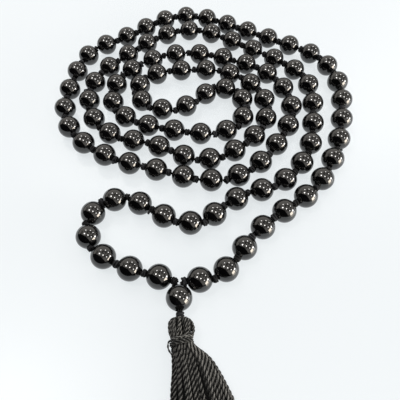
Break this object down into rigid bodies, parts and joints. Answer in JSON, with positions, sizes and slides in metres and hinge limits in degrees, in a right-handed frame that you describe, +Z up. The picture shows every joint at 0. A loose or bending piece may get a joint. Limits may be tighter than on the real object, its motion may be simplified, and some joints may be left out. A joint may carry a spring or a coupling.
{
  "type": "mala prayer beads",
  "caption": "Knotted string of round black stone beads with a guru bead and a dark grey yarn tassel, laid flat as a loose double spiral.",
  "frame": {"origin": "under the middle of the laid-out string, on the surface that it lies on", "axes": "+Z up from the surface, +Y from the tassel towards the far side of the coil, +X to the right as seen from the tassel"},
  "size_m": [0.1138, 0.1842, 0.008],
  "materials": {
    "black_stone": "polished black stone",
    "thread": "waxed cotton thread",
    "tassel_yarn": "matt twisted yarn"
  },
  "bodies": {
    "coil": {"coil_beads_011_015": "black_stone", "coil_beads_016_020": "black_stone", "coil_beads_021_025": "black_stone", "coil_beads_026_030": "black_stone", "coil_beads_031_035": "black_stone", "coil_beads_036_040": "black_stone", "coil_beads_041_045": "black_stone", "coil_beads_046_050": "black_stone", "coil_beads_051_055": "black_stone", "coil_beads_060_064": "black_stone", "coil_beads_065_069": "black_stone", "coil_beads_070_074": "black_stone", "coil_beads_075_079": "black_stone", "coil_beads_080_084": "black_stone", "coil_beads_085_089": "black_stone", "coil_beads_090_094": "black_stone", "coil_beads_095_099": "black_stone", "coil_knots_right": "thread", "coil_knots_left": "thread", "coil_thread_right": "thread", "coil_thread_left": "thread"},
    "front_loop": {"front_loop_knots": "thread", "front_loop_thread": "thread"},
    "front_tip": {"front_tip_knots": "thread", "guru_knots": "thread", "front_tip_thread": "thread"},
    "tassel_knot": {"tassel_knot": "thread"},
    "tassel_hanger": {"tassel_hanger": "thread"},
    "tassel": {"tassel_head": "tassel_yarn", "tassel_binding": "tassel_yarn", "tassel_skirt": "tassel_yarn"},
    "inner_loop": {"inner_loop_knots": "thread", "inner_loop_thread": "thread"},
    "guru_bead": {"guru_bead": "black_stone"},
    "bead_001": {"bead_001": "black_stone"},
    "bead_002": {"bead_002": "black_stone"},
    "bead_003": {"bead_003": "black_stone"},
    "bead_004": {"bead_004": "black_stone"},
    "bead_005": {"bead_005": "black_stone"},
    "bead_006": {"bead_006": "black_stone"},
    "bead_007": {"bead_007": "black_stone"},
    "bead_008": {"bead_008": "black_stone"},
    "bead_009": {"bead_009": "black_stone"},
    "bead_010": {"bead_010": "black_stone"},
    "bead_056": {"bead_056": "black_stone"},
    "bead_057": {"bead_057": "black_stone"},
    "bead_058": {"bead_058": "black_stone"},
    "bead_059": {"bead_059": "black_stone"},
    "bead_100": {"bead_100": "black_stone"},
    "bead_101": {"bead_101": "black_stone"},
    "bead_102": {"bead_102": "black_stone"},
    "bead_103": {"bead_103": "black_stone"},
    "bead_104": {"bead_104": "black_stone"},
    "bead_105": {"bead_105": "black_stone"},
    "bead_106": {"bead_106": "black_stone"},
    "bead_107": {"bead_107": "black_stone"},
    "bead_108": {"bead_108": "black_stone"}
  },
  "joints": [
    {"name": "front_loop_lift", "type": "hinge", "parent": "coil", "child": "front_loop", "pos_m": [0.01402, -0.01954, 0.004], "axis": [-0.9486, 0.3166, 0], "range_deg": [0, 55]},
    {"name": "front_tip_lift", "type": "hinge", "parent": "front_loop", "child": "front_tip", "pos_m": [0.00848, -0.02734, 0.004], "axis": [-0.9945, 0.1052, 0], "range_deg": [0, 50]},
    {"name": "tassel_swing", "type": "hinge", "parent": "front_tip", "child": "tassel_knot", "pos_m": [-0.00909, -0.04423, 0.0038], "axis": [0, 0, 1], "range_deg": [-25, 25]},
    {"name": "tassel_lift", "type": "hinge", "parent": "tassel_knot", "child": "tassel_hanger", "pos_m": [-0.00909, -0.04423, 0.0038], "axis": [-1, 0, 0], "range_deg": [0, 50]},
    {"name": "tassel_twist", "type": "hinge", "parent": "tassel_hanger", "child": "tassel", "pos_m": [-0.00909, -0.04423, 0.0038], "axis": [0, 1, 0], "range_deg": [-90, 90]},
    {"name": "inner_loop_lift", "type": "hinge", "parent": "coil", "child": "inner_loop", "pos_m": [-0.00236, 0.03832, 0.004], "axis": [0.7563, -0.6542, 0], "range_deg": [0, 45]},
    {"name": "guru_bead_spin", "type": "hinge", "parent": "front_tip", "child": "guru_bead", "pos_m": [-0.00939, -0.03913, 0.004], "axis": [0, 1, 0], "continuous": true},
    {"name": "bead_001_spin", "type": "hinge", "parent": "front_tip", "child": "bead_001", "pos_m": [-0.00311, -0.03362, 0.004], "axis": [1, 0.0012, 0], "continuous": true},
    {"name": "bead_002_spin", "type": "hinge", "parent": "front_tip", "child": "bead_002", "pos_m": [0.00508, -0.03048, 0.004], "axis": [0.7357, 0.6773, 0], "continuous": true},
    {"name": "bead_003_spin", "type": "hinge", "parent": "front_loop", "child": "bead_003", "pos_m": [0.01125, -0.02344, 0.004], "axis": [0.5785, 0.8157, 0], "continuous": true},
    {"name": "bead_004_spin", "type": "hinge", "parent": "coil", "child": "bead_004", "pos_m": [0.01765, -0.01642, 0.004], "axis": [0.7588, 0.6513, 0], "continuous": true},
    {"name": "bead_005_spin", "type": "hinge", "parent": "coil", "child": "bead_005", "pos_m": [0.02527, -0.01063, 0.004], "axis": [0.8307, 0.5568, 0], "continuous": true},
    {"name": "bead_006_spin", "type": "hinge", "parent": "coil", "child": "bead_006", "pos_m": [0.03315, -0.00519, 0.004], "axis": [0.8151, 0.5793, 0], "continuous": true},
    {"name": "bead_007_spin", "type": "hinge", "parent": "coil", "child": "bead_007", "pos_m": [0.03977, 0.0015, 0.004], "axis": [0.5706, 0.8212, 0], "continuous": true},
    {"name": "bead_008_spin", "type": "hinge", "parent": "coil", "child": "bead_008", "pos_m": [0.04471, 0.00967, 0.004], "axis": [0.4617, 0.887, 0], "continuous": true},
    {"name": "bead_009_spin", "type": "hinge", "parent": "coil", "child": "bead_009", "pos_m": [0.04847, 0.01846, 0.004], "axis": [0.3247, 0.9458, 0], "continuous": true},
    {"name": "bead_010_spin", "type": "hinge", "parent": "coil", "child": "bead_010", "pos_m": [0.0511, 0.02766, 0.004], "axis": [0.2238, 0.9746, 0], "continuous": true},
    {"name": "bead_056_spin", "type": "hinge", "parent": "inner_loop", "child": "bead_056", "pos_m": [0.01452, 0.02978, 0.004], "axis": [0.4138, 0.9104, 0], "continuous": true},
    {"name": "bead_057_spin", "type": "hinge", "parent": "inner_loop", "child": "bead_057", "pos_m": [0.01487, 0.0387, 0.004], "axis": [-0.337, 0.9415, 0], "continuous": true},
    {"name": "bead_058_spin", "type": "hinge", "parent": "inner_loop", "child": "bead_058", "pos_m": [0.00867, 0.04448, 0.004], "axis": [-0.9662, 0.2577, 0], "continuous": true},
    {"name": "bead_059_spin", "type": "hinge", "parent": "inner_loop", "child": "bead_059", "pos_m": [0.00087, 0.04201, 0.004], "axis": [-0.6578, -0.7532, 0], "continuous": true},
    {"name": "bead_100_spin", "type": "hinge", "parent": "front_loop", "child": "bead_100", "pos_m": [-0.00572, -0.01413, 0.004], "axis": [-0.997, 0.0774, 0], "continuous": true},
    {"name": "bead_101_spin", "type": "hinge", "parent": "front_loop", "child": "bead_101", "pos_m": [-0.0144, -0.01128, 0.004], "axis": [-0.8534, 0.5212, 0], "continuous": true},
    {"name": "bead_102_spin", "type": "hinge", "parent": "front_loop", "child": "bead_102", "pos_m": [-0.02248, -0.00628, 0.004], "axis": [-0.847, 0.5316, 0], "continuous": true},
    {"name": "bead_103_spin", "type": "hinge", "parent": "front_loop", "child": "bead_103", "pos_m": [-0.03109, -0.00462, 0.004], "axis": [-0.9832, -0.1827, 0], "continuous": true},
    {"name": "bead_104_spin", "type": "hinge", "parent": "front_loop", "child": "bead_104", "pos_m": [-0.03782, -0.00962, 0.004], "axis": [-0.4582, -0.8888, 0], "continuous": true},
    {"name": "bead_105_spin", "type": "hinge", "parent": "front_loop", "child": "bead_105", "pos_m": [-0.03854, -0.01814, 0.004], "axis": [0.3078, -0.9514, 0], "continuous": true},
    {"name": "bead_106_spin", "type": "hinge", "parent": "front_tip", "child": "bead_106", "pos_m": [-0.03313, -0.02516, 0.004], "axis": [0.8336, -0.5523, 0], "continuous": true},
    {"name": "bead_107_spin", "type": "hinge", "parent": "front_tip", "child": "bead_107", "pos_m": [-0.02464, -0.02943, 0.004], "axis": [0.9403, -0.3403, 0], "continuous": true},
    {"name": "bead_108_spin", "type": "hinge", "parent": "front_tip", "child": "bead_108", "pos_m": [-0.01551, -0.03235, 0.004], "axis": [0.9636, -0.2673, 0], "continuous": true}
  ]
}
